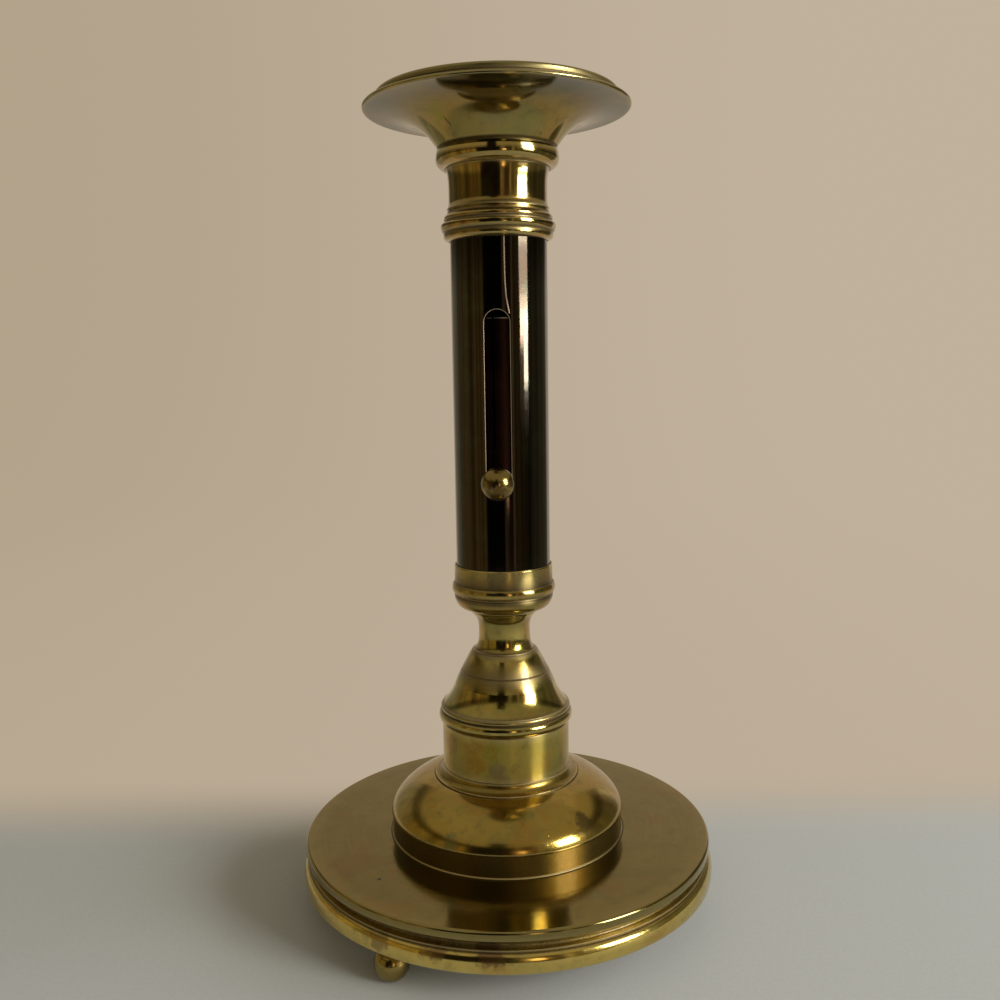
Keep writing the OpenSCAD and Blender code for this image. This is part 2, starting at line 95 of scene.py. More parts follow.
def incised(at, towards, wide=0.5, deep=0.25):
    """A small V cut into an outline at a point."""
    at = np.array(at, float)
    way = np.array(towards, float) - at
    way = way / np.linalg.norm(way)
    inward = np.array([-abs(way[1]), np.sign(way[1]) * way[0]])
    return [tuple(at - way * wide / 2), tuple(at + inward * deep), tuple(at + way * wide / 2)]


def soften(points, radius, steps=4, limit=16):
    """Rounds each corner of a closed outline that turns by more than the limit, in degrees."""
    clean = [np.array(points[0], float)]
    for p in points[1:]:
        if np.linalg.norm(np.array(p) - clean[-1]) > 1e-4:
            clean.append(np.array(p, float))
    if np.linalg.norm(clean[0] - clean[-1]) < 1e-4:
        clean.pop()
    out = []
    for i, p in enumerate(clean):
        to_last = clean[i - 1] - p
        to_next = clean[(i + 1) % len(clean)] - p
        len_last = np.linalg.norm(to_last)
        len_next = np.linalg.norm(to_next)
        to_last = to_last / len_last
        to_next = to_next / len_next
        turn = math.degrees(math.acos(max(-1, min(1, float(-to_last @ to_next)))))
        if turn < limit or p[0] < ON_AXIS:
            out.append(p)
            continue
        cut = min(radius * math.tan(math.radians(turn) / 2), 0.45 * len_last, 0.45 * len_next)
        start = p + to_last * cut
        end = p + to_next * cut
        for t in np.linspace(0, 1, steps + 1):
            out.append((1 - t) ** 2 * start + 2 * (1 - t) * t * p + t * t * end)
    return np.array(out)


def subdivide(pts, longest):
    """Adds points along the straight runs, so that the layers of dirt with painted shade, and of wear, stay
    near their corners.
    """
    out = []
    for i, a in enumerate(pts):
        b = pts[(i + 1) % len(pts)]
        parts = max(1, int(np.linalg.norm(b - a) / longest))
        out += [a + (b - a) * j / parts for j in range(parts)]
    return np.array(out)


def signed_area(pts):
    """Area inside an outline, above zero where it runs anticlockwise."""
    n = len(pts)
    return 0.5 * sum(pts[i][0] * pts[(i + 1) % n][1] - pts[(i + 1) % n][0] * pts[i][1] for i in range(n))


def outline_normals(pts):
    """A normal for each outline point, led by its longer neighbour, and how hollow the outline is there."""
    n = len(pts)
    sign = 1 if signed_area(pts) > 0 else -1
    runs = [pts[(i + 1) % n] - pts[i] for i in range(n)]
    lengths = [max(1e-9, np.linalg.norm(r)) for r in runs]
    faces = [np.array([r[1], -r[0]]) / length * sign for r, length in zip(runs, lengths)]
    normals = []
    hollow = np.zeros(n)
    for i in range(n):
        v = faces[i - 1] * lengths[i - 1] + faces[i] * lengths[i]
        normals.append(v / max(1e-9, np.linalg.norm(v)))
        cross = faces[i - 1][0] * faces[i][1] - faces[i - 1][1] * faces[i][0]
        hollow[i] = -sign * math.degrees(math.asin(max(-1, min(1, cross))))
    return np.array(normals), hollow


def spread(pts, turn, reach, gain):
    """Lets each turn of the outline tell on its neighbourhood: dirt with painted shade in the hollows, wear
    on the edges.
    """
    total = np.zeros(len(pts))
    for i in np.nonzero(turn > 1.0)[0]:
        away = np.linalg.norm(pts - pts[i], axis=1)
        total += turn[i] / 90 * np.exp(-(away / reach) ** 2)
    return np.clip(total * gain, 0, 1)


def smooth_mesh(name, verts, faces, mat):
    """A new object of the scene, with every face smooth."""
    me = bpy.data.meshes.new(name)
    me.from_pydata([tuple(v) for v in verts], [], faces)
    me.polygons.foreach_set("use_smooth", [True] * len(me.polygons))
    me.materials.append(mat)
    ob = bpy.data.objects.new(name, me)
    bpy.context.scene.collection.objects.link(ob)
    return ob


def new_piece(name, verts, faces, normals, grime_and_shade, wear, node, body, mat):
    """A visible piece in the place of a node, with its own normals and its layers of grime with painted
    shade, and of wear.
    """
    ob = smooth_mesh(name, verts, faces, mat)
    me = ob.data
    for key, values in (("grime_and_shade", grime_and_shade), ("wear", wear)):
        layer = me.attributes.new(key, "FLOAT", "POINT")
        layer.data.foreach_set("value", np.asarray(values, np.float32))
    me.update()
    me.normals_split_custom_set_from_vertices([tuple(v) for v in normals])
    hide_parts(node)
    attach(ob, body)
    return ob


def turned(name, outline, node, slot, mat, seg=160, radius=0.1, longest=3.0, body="stand", at=None,
           lay=None):
    """Turns a closed half outline into a piece.

    radius rounds its corners, longest splits its straight runs and at is the place of its zero, all in
    millimetres. lay turns its axis.
    """
    pts = subdivide(soften(outline, radius), longest)
    nor, hollow = outline_normals(pts)
    # Dirt and painted shade gather in the outline's hollows.
    grime_and_shade_at = spread(pts, hollow, DIRT_AND_SHADE_REACH, DIRT_AND_SHADE_GAIN)
    wear_at = spread(pts, -hollow, WEAR_REACH, WEAR_GAIN)
    at = Vector(at or (0, 0, foot_z(node)))
    lay = lay or Matrix.Identity(3)
    angles = np.linspace(0, 2 * math.pi, seg, endpoint=False)
    verts, normals, grime_and_shade, wear, index = [], [], [], [], []
    for i, (r, h) in enumerate(pts):
        ring = angles[:1] if r < ON_AXIS else angles
        index.append([len(verts) + k % len(ring) for k in range(seg)])
        for a in ring:
            c = math.cos(a)
            s = math.sin(a)
            verts.append((lay @ Vector((r * c, r * s, h)) + at) * MM)
            flat = 0 if r < ON_AXIS else nor[i][0]
            normals.append(lay @ Vector((flat * c, flat * s, nor[i][1])))
            grime_and_shade.append(grime_and_shade_at[i])
            wear.append(wear_at[i])
    faces = []
    outward = signed_area(pts) > 0
    for i in range(len(pts)):
        j = (i + 1) % len(pts)
        for k in range(seg):
            m = (k + 1) % seg
            face = [index[i][k], index[i][m], index[j][m], index[j][k]]
            if not outward:
                face.reverse()
            face = [v for a, v in enumerate(face) if v != face[a - 1]]
            if len(face) > 2:
                faces.append(face)
    return new_piece(name, verts, faces, normals, grime_and_shade, wear, node, body, mat)


class Nodes:
    """Short calls for shader nodes."""

    def __init__(self, tree):
        self.tree = tree

    def add(self, kind, inputs=None, **props):
        node = self.tree.nodes.new(kind)
        for key, value in props.items():
            setattr(node, key, value)
        for key, value in (inputs or {}).items():
            self.put(node.inputs[key], value)
        return node

    def put(self, socket, value):
        """Links a node's first output or a socket, or else sets a plain value."""
        if isinstance(value, bpy.types.Node):
            value = value.outputs[0]
        if isinstance(value, bpy.types.NodeSocket):
            self.tree.links.new(value, socket)
        else:
            socket.default_value = value

    def math(self, op, a, b=0.0, clamp=False):
        node = self.add("ShaderNodeMath", operation=op, use_clamp=clamp)
        self.put(node.inputs[0], a)
        self.put(node.inputs[1], b)
        return node.outputs[0]

    def times(self, a, b):
        """Two masks as one."""
        return self.math("MULTIPLY", a, b, clamp=True)

    def vec(self, op, a, b):
        return self.add("ShaderNodeVectorMath", {0: a, 1: b}, operation=op)

    def noise(self, vec, scale, detail=4.0, rough=0.55, dist=0.0):
        return self.add("ShaderNodeTexNoise", {"Vector": vec, "Scale": scale, "Detail": detail,
                                               "Roughness": rough, "Distortion": dist}).outputs[0]

    def ramp(self, value, a, b, lo=0.0, hi=1.0):
        """Goes smoothly from lo to hi while the value goes from a to b."""
        return self.add("ShaderNodeMapRange", {"Value": value, "From Min": a, "From Max": b, "To Min": lo,
                                               "To Max": hi}, interpolation_type="SMOOTHSTEP").outputs[0]

    def mix(self, f, a, b):
        """Colour a where the mask f is 0, and colour b where it is 1."""
        node = self.add("ShaderNodeMix", data_type="RGBA")
        self.put(node.inputs[0], f)
        self.put(node.inputs[6], a if not isinstance(a, tuple) else (*a, 1.0))
        self.put(node.inputs[7], b if not isinstance(b, tuple) else (*b, 1.0))
        return node.outputs[2]

    def scalar(self, f, a, b):
        """Number a where the mask f is 0, and number b where it is 1."""
        node = self.add("ShaderNodeMix", data_type="FLOAT")
        self.put(node.inputs[0], f)
        self.put(node.inputs[2], a)
        self.put(node.inputs[3], b)
        return node.outputs[0]

    def bump(self, height, mm, normal=None):
        """Relief of so many millimetres, on top of another normal if one is given."""
        node = self.add("ShaderNodeBump", {"Height": height, "Strength": 1.0, "Distance": mm * MM})
        if normal is not None:
            self.put(node.inputs["Normal"], normal)
        return node.outputs[0]


def material(name):
    """A new material and the short calls for its empty tree."""
    m = bpy.data.materials.new(name)
    m.use_nodes = True
    m.node_tree.nodes.clear()
    return m, Nodes(m.node_tree)


LACQUER_ROUGH = 0.07
QUARTER_TURN = 0.25


class Surface:
    """A material's tree with the places that its patterns are laid out by, in millimetres."""

    def __init__(self, name):
        self.material, n = material(name)
        self.n = n
        place = n.add("ShaderNodeTexCoord").outputs["Object"]
        self.mm = n.vec("MULTIPLY", place, (1000, 1000, 1000)).outputs[0]
        self.x, self.y, self.z = n.add("ShaderNodeSeparateXYZ", {0: self.mm}).outputs
        square = n.math("ADD", n.math("MULTIPLY", self.x, self.x), n.math("MULTIPLY", self.y, self.y))
        self.r = n.math("MAXIMUM", n.math("SQRT", square), 0.01)
        # Slow round the axis and fast across it, as the marks of a lathe are.
        self.ring = n.add("ShaderNodeCombineXYZ", {0: n.math("DIVIDE", self.x, self.r),
                                                   1: n.math("DIVIDE", self.y, self.r),
                                                   2: n.math("ADD", self.r, self.z)}).outputs[0]
        self.half_plane = n.add("ShaderNodeCombineXYZ", {0: self.r, 1: self.z}).outputs[0]
        # The grime layer carries dirt and painted shade in the hollows.
        self.grime_and_shade = n.add("ShaderNodeAttribute", attribute_name="grime_and_shade").outputs["Fac"]
        self.wear = n.add("ShaderNodeAttribute", attribute_name="wear").outputs["Fac"]

    def stretched(self, by, scale, detail, rough):
        """Noise squeezed by a factor along each axis: a small factor makes long marks."""
        return self.n.noise(self.n.vec("MULTIPLY", self.mm, by), scale, detail, rough)

    def patch(self, at, reach, ragged):
        """1 near a place, falling to 0 over a ragged edge."""
        n = self.n
        away = n.vec("DISTANCE", self.mm, at).outputs["Value"]
        away = n.math("ADD", away, n.math("MULTIPLY", n.math("SUBTRACT", ragged, 0.5), reach * 3))
        return n.ramp(away, reach, reach * 0.45)

    def stroke(self, a, b, wide):
        """1 along a straight scratch from a to b."""
        n = self.n
        a = Vector(a)
        run = Vector(b) - a
        from_a = n.vec("SUBTRACT", self.mm, a)
        onto = n.vec("DOT_PRODUCT", from_a, run).outputs["Value"]
        along = n.math("DIVIDE", onto, run.length_squared, clamp=True)
        nearest = n.add("ShaderNodeVectorMath", {0: tuple(run), "Scale": along}, operation="SCALE")
        away = n.vec("DISTANCE", from_a, nearest).outputs["Value"]
        return n.ramp(away, wide, wide * 0.4)

    def finish(self, colour, rough, normal, metallic=1.0, coat=0.0, brushed=0.0):
        """coat is old lacquer, and brushed spreads reflections across the marks of the lathe."""
        n = self.n
        out = n.add("ShaderNodeOutputMaterial")
        bsdf = n.add("ShaderNodeBsdfPrincipled", {"Base Color": colour, "Metallic": metallic,
                                                  "Roughness": rough, "Normal": normal})
        if coat:
            bsdf.inputs["Coat Weight"].default_value = coat
            bsdf.inputs["Coat Roughness"].default_value = LACQUER_ROUGH
            n.put(bsdf.inputs["Coat Normal"], normal)
        if brushed:
            round_axis = n.add("ShaderNodeTangent", direction_type="RADIAL", axis="Z")
            bsdf.inputs["Anisotropic"].default_value = brushed
            bsdf.inputs["Anisotropic Rotation"].default_value = QUARTER_TURN
            n.put(bsdf.inputs["Tangent"], round_axis)
        n.put(out.inputs[0], bsdf)
        return self.material


# Where two turned pieces meet, as radius and height, with the reach of the dirt and the painted shade that
# lie there.
SEAMS = [(16.4, foot_z("drip_pan"), 0.9), (14.4, foot_z("bead_ring"), 0.5),
         (14.2, top_z("upper_collar"), 0.4), (SOCKET_R, foot_z("upper_collar"), 0.3),
         (13.7, top_z("lower_ferrule"), 0.3), (10.1, foot_z("lower_ferrule"), 0.5),
         (DRUM_R, top_z("stem_drum"), 0.4), (DRUM_R, foot_z("stem_drum"), 0.4),
         (21.0, foot_z("flare_ring"), 0.5), (34.2, foot_z("foot_dome"), 0.5),
         (59.0, foot_z("base_plate"), 0.4)]
# The colour of dirt and painted shade in hollows and seams, and of dirty scratches.
DIRT_AND_SHADE = (0.045, 0.026, 0.010)
DIRT_ROUGH = 0.5
DULL = (0.150, 0.095, 0.032)
DULL_ROUGH = 0.34
PATCH_ROUGH = 0.30
BRIGHT = (0.72, 0.58, 0.29)


class Brass(Surface):
    """Turned brass, whose colour, roughness and relief are laid on one after the other."""

    def __init__(self, name):
        super().__init__(name)
        n = self.n
        self.cloud = n.noise(self.mm, 0.055, 5, 0.55, 0.3)
        self.blotch = n.noise(self.mm, 0.28, 5, 0.6, 0.4)
        self.fine = n.noise(self.mm, 2.6, 4, 0.65)
        self.grain = n.noise(self.mm, 9.0, 3, 0.6)
        self.lathe = n.noise(self.ring, 2.4, 4, 0.75)

    def share(self, a, part, b):
        """A pattern that is made of two others, part of the first and the rest of the second."""
        n = self.n
        return n.math("ADD", n.math("MULTIPLY", a, part), n.math("MULTIPLY", b, 1 - part))

    def lay(self, mask, colour, rough):
        """Lays a colour and a roughness over those that are there."""
        self.colour = self.n.mix(mask, self.colour, colour)
        self.rough = self.n.scalar(mask, self.rough, rough)

    def metal(self, gold, olive, blush, rough, stains, line_tint):
        """Clouds of three colours, tinted marks of the lathe, stains and specks."""
        n = self.n
        self.colour = n.mix(n.ramp(self.share(self.cloud, 0.65, self.blotch), 0.40, 0.62), gold, olive)
        flush = n.ramp(n.noise(self.mm, 0.11, 4, 0.6, 0.6), 0.50, 0.68, 0, 0.7)
        self.colour = n.mix(flush, self.colour, blush)
        if line_tint:
            self.colour = n.mix(n.ramp(self.lathe, 0.40, 0.66, 0, line_tint), self.colour, DULL)
        self.rough = n.ramp(self.share(self.cloud, 0.5, self.fine), 0.3, 0.7, *rough)
        stain = n.times(n.ramp(self.blotch, 0.50, 0.70), n.ramp(self.fine, 0.35, 0.65))
        self.lay(n.times(stain, stains), DULL, DULL_ROUGH)
        specks = n.ramp(self.grain, 0.56, 0.74, 0, 0.3 + 0.4 * stains)
        self.colour = n.mix(specks, self.colour, DULL)

    def painted_sheen(self, colour, rough, starts, full, ends):
        """A grey-blue veil, a painted reflection of the table below, that grows from one radius to another
        and ends at a height.
        """
        n = self.n
        mask = n.times(n.ramp(self.r, starts, full, 0, 0.9), n.ramp(self.cloud, 0.25, 0.6, 0.6, 1.0))
        self.lay(n.times(mask, n.ramp(self.z, ends + 0.1, ends - 0.1)), colour, rough)

    def zone(self, lowest, highest, colour, strength, rough):
        """Another finish between two heights."""
        n = self.n
        mask = n.times(n.ramp(self.z, lowest - 0.1, lowest + 0.1),
                       n.ramp(self.z, highest + 0.1, highest - 0.1))
        self.colour = n.mix(n.times(mask, strength), self.colour, colour)
        self.rough = n.scalar(mask, self.rough, rough)

    def stained(self, place, reach, colour, strength):
        """One ragged stain."""
        ragged = self.n.noise(self.mm, 1.1 / reach, 5, 0.65)
        self.lay(self.n.times(self.patch(place, reach, ragged), strength), colour, PATCH_ROUGH)

    def dirt_shade_and_wear(self):
        """Dirt and painted shade in the hollows and seams, and bright metal on the edges."""
        n = self.n
        dirt_and_shade = self.grime_and_shade
        for radius, height, reach in SEAMS:
            away = n.vec("DISTANCE", self.half_plane, (radius, height, 0)).outputs["Value"]
            dirt_and_shade = n.math("MAXIMUM", dirt_and_shade, n.ramp(away, reach, reach * 0.4))
        dirt_and_shade = n.times(dirt_and_shade, n.ramp(self.fine, 0.15, 0.6, 0.6, 1.0))
        # Painted shade, mixed with dirt, darkens the hollows and seams.
        self.colour = n.mix(n.times(dirt_and_shade, 0.9), self.colour, DIRT_AND_SHADE)
        self.rough = n.scalar(dirt_and_shade, self.rough, DIRT_ROUGH)
        self.colour = n.mix(n.times(self.wear, 0.45), self.colour, BRIGHT)

    def relief(self, wave, lines):
        """Two sizes of waves, the marks of the lathe, hairlines, pits and grain."""
        n = self.n
        normal = n.bump(n.noise(self.mm, 0.075, 3, 0.5), wave)
        normal = n.bump(n.noise(self.mm, 0.5, 4, 0.55), wave * 0.16, normal)
        normal = n.bump(self.lathe, lines, normal)
        hair = self.stretched((0.35, 2.6, 1.1), 2.2, 6, 0.8)
        normal = n.bump(n.ramp(hair, 0.60, 0.66), -0.0008, normal)
        cells = n.add("ShaderNodeTexVoronoi", {"Vector": self.mm, "Scale": 0.45, "Randomness": 1.0})
        pits = n.ramp(cells.outputs["Distance"], 0.09, 0.04)
        normal = n.bump(n.times(pits, n.ramp(self.blotch, 0.54, 0.62)), -0.03, normal)
        return n.bump(self.grain, 0.0010, normal)

    def scratched(self, normal, start, end, wide):
        """One dirty scratch, in the colour and in the relief."""
        n = self.n
        mask = self.stroke(start, end, wide)
        self.colour = n.mix(n.times(mask, n.ramp(self.fine, 0.3, 0.55, 0.5, 0.95)), self.colour, DIRT_AND_SHADE)
        return n.bump(mask, -0.02, normal)


def brass(name, gold, olive, blush, rough, stains=0.3, wave=0.045, lines=0.0012, line_tint=0.0, coat=0.6,
          brushed=0.0, painted_sheen=None, zones=(), patches=(), strokes=()):
    """Turned brass under an old polish. The veil, zones, patches and strokes hold what Brass's calls take;
    the veil is a painted reflection of the table.
    """
    s = Brass(name)
    s.metal(gold, olive, blush, rough, stains, line_tint)
    if painted_sheen:
        s.painted_sheen(*painted_sheen)
    for zone in zones:
        s.zone(*zone)
    for patch in patches:
        s.stained(*patch)
    s.dirt_shade_and_wear()
    normal = s.relief(wave, lines)
    for stroke in strokes:
        normal = s.scratched(normal, *stroke)
    return s.finish(s.colour, s.rough, normal, coat=coat, brushed=brushed)


WORN_ROUGH = 0.45
RUBBED_WIDTH = 0.22
SOOT = (0.012, 0.008, 0.005)
# Grease and painted shade in the bronze's hollows.
GREASE_AND_SHADE = (0.010, 0.006, 0.004)


def bronzed(name, dark, brown, green, edge, rough, edge_from=None, rubbed_line=(), coat=0.0):
    """Brass bronzed nearly black and lacquered, rubbed along its length, worn pale and dull on its edges,
    and darkened in its hollows by grease and painted shade.

    edge_from is the height above which it is worn, and rubbed_line the places that a worn line runs through.
    """
    s = Surface(name)
    n = s.n
    cloud = n.noise(s.mm, 0.07, 5, 0.6, 0.5)
    fine = n.noise(s.mm, 2.4, 4, 0.65)
    grain = n.noise(s.mm, 8.0, 3, 0.6)
    rubbed = s.stretched((1, 1, 0.05), 0.42, 5, 0.6)
    both = n.math("ADD", n.math("MULTIPLY", rubbed, 0.55), n.math("MULTIPLY", cloud, 0.45))
    colour = n.mix(n.ramp(both, 0.38, 0.64), dark, brown)
    colour = n.mix(n.ramp(n.noise(s.mm, 0.16, 4, 0.6), 0.50, 0.66, 0, 0.7), colour, green)
    colour = n.mix(n.ramp(grain, 0.58, 0.74, 0, 0.5), colour, SOOT)
    worn = n.times(s.wear, n.ramp(fine, 0.2, 0.6, 0.65, 1.0))
    for start, end in zip(rubbed_line, rubbed_line[1:]):
        line = n.times(s.stroke(start, end, RUBBED_WIDTH), n.ramp(fine, 0.2, 0.55, 0.5, 1.0))
        worn = n.math("MAXIMUM", worn, line)
    colour = n.mix(worn, colour, edge)
    if edge_from is not None:
        colour = n.mix(n.ramp(s.z, edge_from - 0.05, edge_from + 0.05, 0, 0.8), colour, edge)
    # Grease and painted shade darken the hollows.
    colour = n.mix(n.times(s.grime_and_shade, 0.7), colour, GREASE_AND_SHADE)
    patchy = n.math("ADD", n.math("MULTIPLY", fine, 0.5), n.math("MULTIPLY", cloud, 0.5))
    ro = n.scalar(worn, n.ramp(patchy, 0.3, 0.7, *rough), WORN_ROUGH)
    normal = n.bump(n.noise(s.mm, 0.085, 3, 0.5), 0.034)
    normal = n.bump(s.stretched((1, 1, 0.08), 1.4, 4, 0.6), 0.0022, normal)
    scuff = s.stretched((2.4, 0.6, 0.25), 2.0, 6, 0.8)
    normal = n.bump(n.ramp(scuff, 0.60, 0.68), -0.0010, normal)
    normal = n.bump(fine, 0.0024, normal)
    normal = n.bump(worn, 0.02, normal)
    return s.finish(colour, ro, normal, metallic=n.scalar(worn, 1.0, 0.35), coat=coat)


def steel(name):
    """Plain steel that has stood under a base for years: grey, with brown bloom."""
    s = Surface(name)
    n = s.n
    rust = n.ramp(n.noise(s.mm, 0.22, 6, 0.65, 0.5), 0.48, 0.66)
    fine = n.noise(s.mm, 3.0, 4, 0.6)
    bloom = n.times(rust, n.ramp(fine, 0.3, 0.7, 0.4, 1))
    colour = n.mix(bloom, (0.42, 0.41, 0.39), (0.16, 0.085, 0.045))
    ro = n.scalar(rust, n.ramp(fine, 0.3, 0.7, 0.28, 0.42), 0.7)
    normal = n.bump(n.noise(s.ring, 2.2, 4, 0.7), 0.004)
    normal = n.bump(n.times(rust, fine), 0.03, normal)
    return s.finish(colour, ro, normal, metallic=n.scalar(rust, 1.0, 0.4))


GOLD = (0.42, 0.295, 0.080)
OLIVE = (0.32, 0.255, 0.070)
ORANGE = (0.39, 0.220, 0.050)
BRASS = brass("old_brass", GOLD, OLIVE, ORANGE, (0.07, 0.13), stains=0.3)
BRASS_DRUM = brass("satin_brass", (0.44, 0.330, 0.062), (0.36, 0.295, 0.065), (0.43, 0.25, 0.040),
                   (0.21, 0.26), stains=0.5, wave=0.02, coat=0.2, brushed=0.9,
                   patches=[((-7.5, -16.9, 46.7), 7.0, (0.42, 0.22, 0.02), 0.45),
                            ((-7.0, -17.1, 46.0), 3.5, (0.40, 0.19, 0.01), 0.4),
                            ((-3.0, -18.2, 49.5), 4.0, (0.38, 0.32, 0.02), 0.5),
                            ((-14.5, -11.5, 49.0), 3.5, (0.31, 0.16, 0.05), 0.4),
                            ((-1.0, -18.4, 43.5), 3.5, (0.24, 0.19, 0.12), 0.4)])
# Under the pan a grey-blue veil is a painted reflection of the table.
BRASS_PAN = brass("spun_brass", (0.36, 0.275, 0.085), (0.27, 0.235, 0.078), (0.34, 0.22, 0.070),
                  (0.05, 0.09), stains=0.5, coat=0.0, painted_sheen=((0.085, 0.110, 0.110), 0.10, 19.0, 33.0, 224.7),
                  zones=[(224.9, 229, (0.19, 0.17, 0.07), 0.85, 0.26)],
                  patches=[((11.8, -11.5, 216.3), 0.9, (0.08, 0.045, 0.02), 0.9),
                           ((-14.0, -17.0, 220.5), 4.0, (0.26, 0.27, 0.05), 0.5),
                           ((2.0, -22.0, 221.0), 6.0, (0.33, 0.27, 0.15), 0.35)],
                  strokes=[((-12.6, -16.1, 219.5), (-9.0, -13.9, 216.3), 0.28)])
BRASS_DOME = brass("warm_brass", (0.42, 0.285, 0.055), (0.33, 0.250, 0.055), (0.40, 0.220, 0.036),
                   (0.12, 0.20), stains=0.5, coat=0.3, zones=[(20.0, 27.2, (0.42, 0.27, 0.06), 0.3, 0.07)],
                   patches=[((-14.2, -30.7, 28.3), 3.0, (0.15, 0.20, 0.10), 0.7),
                            ((23.0, -22.6, 30.7), 3.6, (0.07, 0.045, 0.015), 0.8)])
BRASS_PLATE = brass("ringed_brass", (0.240, 0.190, 0.050), (0.200, 0.170, 0.046), (0.24, 0.155, 0.034),
                    (0.09, 0.14), stains=0.35, lines=0.0010, line_tint=0.25, coat=0.15, brushed=0.5,
                    patches=[((-32.4, -34.7, 20.4), 0.7, (0.03, 0.02, 0.01), 0.9),
                             ((-40.0, -28.0, 20.4), 9.0, (0.20, 0.13, 0.04), 0.6)])
# The base moulding's gold and olive are lighter than the other brass's, as painted light that makes up for
# the shaded table it reflects; its patches are real stains.
BRASS_RING_LIT = brass("foot_brass_lit", (0.70, 0.52, 0.130), (0.58, 0.45, 0.115), (0.55, 0.33, 0.07), (0.10, 0.17),
                   stains=0.5, coat=0.4,
                   patches=[((-15.5, -57.7, 14.9), 3.9, (0.20, 0.10, 0.032), 0.8),
                            ((-1.0, -59.4, 15.0), 4.3, (0.17, 0.085, 0.026), 0.85),
                            ((-30.0, -51.8, 14.4), 4.0, (0.20, 0.13, 0.05), 0.7)])
BRASS_FOOT = brass("handled_brass", (0.36, 0.245, 0.070), OLIVE, (0.33, 0.18, 0.045), (0.15, 0.24),
                   stains=0.8, coat=0.2)
BRASS_INNER = brass("dull_brass", (0.26, 0.16, 0.06), (0.19, 0.12, 0.045), (0.25, 0.12, 0.04), (0.24, 0.40),
                    stains=0.8, coat=0.0)
BRASS_BELL = brass("mottled_brass", (0.47, 0.345, 0.085), (0.33, 0.285, 0.065), ORANGE, (0.07, 0.13),
                   stains=0.6, wave=0.07)
BRASS_FERRULE = brass("satin_ferrule", GOLD, OLIVE, ORANGE, (0.13, 0.18), stains=0.5, wave=0.05, coat=0.2,
                      brushed=0.85)
BRASS_KNOB = brass("fingered_brass", (0.24, 0.165, 0.045), (0.20, 0.150, 0.040), (0.22, 0.11, 0.025),
                   (0.15, 0.26), stains=1.0, wave=0.3, coat=0.15,
                   patches=[((-1.5, -23.2, 124.9), 1.7, (0.035, 0.012, 0.008), 0.85),
                            ((0.9, -23.1, 122.9), 2.2, (0.10, 0.045, 0.006), 0.8),
                            ((-1.9, -22.3, 121.9), 1.8, (0.09, 0.050, 0.012), 0.7),
                            ((-3.2, -21.3, 124.6), 1.5, (0.14, 0.12, 0.060), 0.8)])
# A line worn through the bronze, from the collar down to the slot.
RUBBED_LINE = [(2.24, -13.3, 190.5), (2.27, -13.3, 183.6), (2.35, -13.3, 178.4), (2.6, -13.25, 174.2),
               (3.05, -13.15, 171.6), (3.4, -13.05, 169.8)]
BRONZED = bronzed("bronzed_lacquer", (0.032, 0.021, 0.011), (0.054, 0.030, 0.013), (0.040, 0.045, 0.024),
                  (0.34, 0.25, 0.17), (0.05, 0.09), coat=0.6, rubbed_line=RUBBED_LINE)
# The cup's upper edge shows pale in the slot.
CUP_DARK = bronzed("dark_cup", (0.012, 0.007, 0.006), (0.030, 0.011, 0.009), (0.016, 0.010, 0.007),
                   (0.30, 0.28, 0.27), (0.25, 0.38), edge_from=top_z("candle_cup") - 0.35)
STEEL = steel("aged_steel")


def base_ring_outline():
    high = 8.05
    skirt = 5.0
    step_r = 58.3
    cove = (step_r - 0.2, skirt + 0.5)
    top = (step_r - 0.4, high)
    hollow_r = 48.0
    toe = 0.6
    return ([(hollow_r, 0)] + arc((BASE_R - toe, toe), toe, toe, -90, 0, 8)
            + curve((BASE_R, 1.5), (BASE_R, 3.4), (59.32, 4.8), (step_r, skirt))
            + [(step_r, skirt + 0.5)]
            + curve(cove, (cove[0] - 1.5, cove[1]), (top[0] - 1.5, (cove[1] + high) / 2), top)
            + [(hollow_r, high)])


def base_plate_outline():
    high = 2.6
    edge_r = 59.1
    under = 0.4
    over = 0.9
    return ([(ROD_HOLE_R, 0)] + arc((edge_r - under, under), under, under, -90, 0, 8)
            + arc((edge_r - over, high - over), over, over, 0, 90, 10) + [(ROD_HOLE_R, high)])


def dome_outline():
    dome_r = 34.2
    land_r = 21.4
    eye_r = 14.0
    sheet = 1.2
    high = 16.8
    band = 6.8
    out = 0.3
    span = dome_r - land_r
    foot_pull = (-span * 0.05, 3.3)
    land_pull = (span * 0.55, -2.0)

    def shell(foot, land, n):
        return curve(foot, (foot[0] + foot_pull[0], foot[1] + foot_pull[1]),
                     (land[0] + land_pull[0], land[1] + land_pull[1]), land, n)

    inner = shell((dome_r - sheet, band), (land_r, high - sheet), 16)
    return ([(dome_r - sheet, 0), (dome_r, 0), (dome_r, 0.2), (dome_r - out, 0.5),
             (dome_r - out, band - 2 * out), (dome_r, band - out)]
            + shell((dome_r, band), (land_r, high), 32) + [(eye_r, high), (eye_r, high - sheet)]
            + inner[::-1])


def flare_outline():
    flare_r = 21.0
    core_r = 14.0
    hollow = 2.5
    shelf = 3.0
    high = 5.0
    return ([(core_r, 0), (flare_r, 0)] + arc((flare_r, shelf), hollow, hollow, -90, -180)
            + [(SPIGOT_R, shelf), (SPIGOT_R, high), (core_r, high)])


def drum_outline():
    core_r = 17.3
    high = 13.3
    return [(core_r, 0), (DRUM_R, 0), (DRUM_R, high), (core_r, high)]


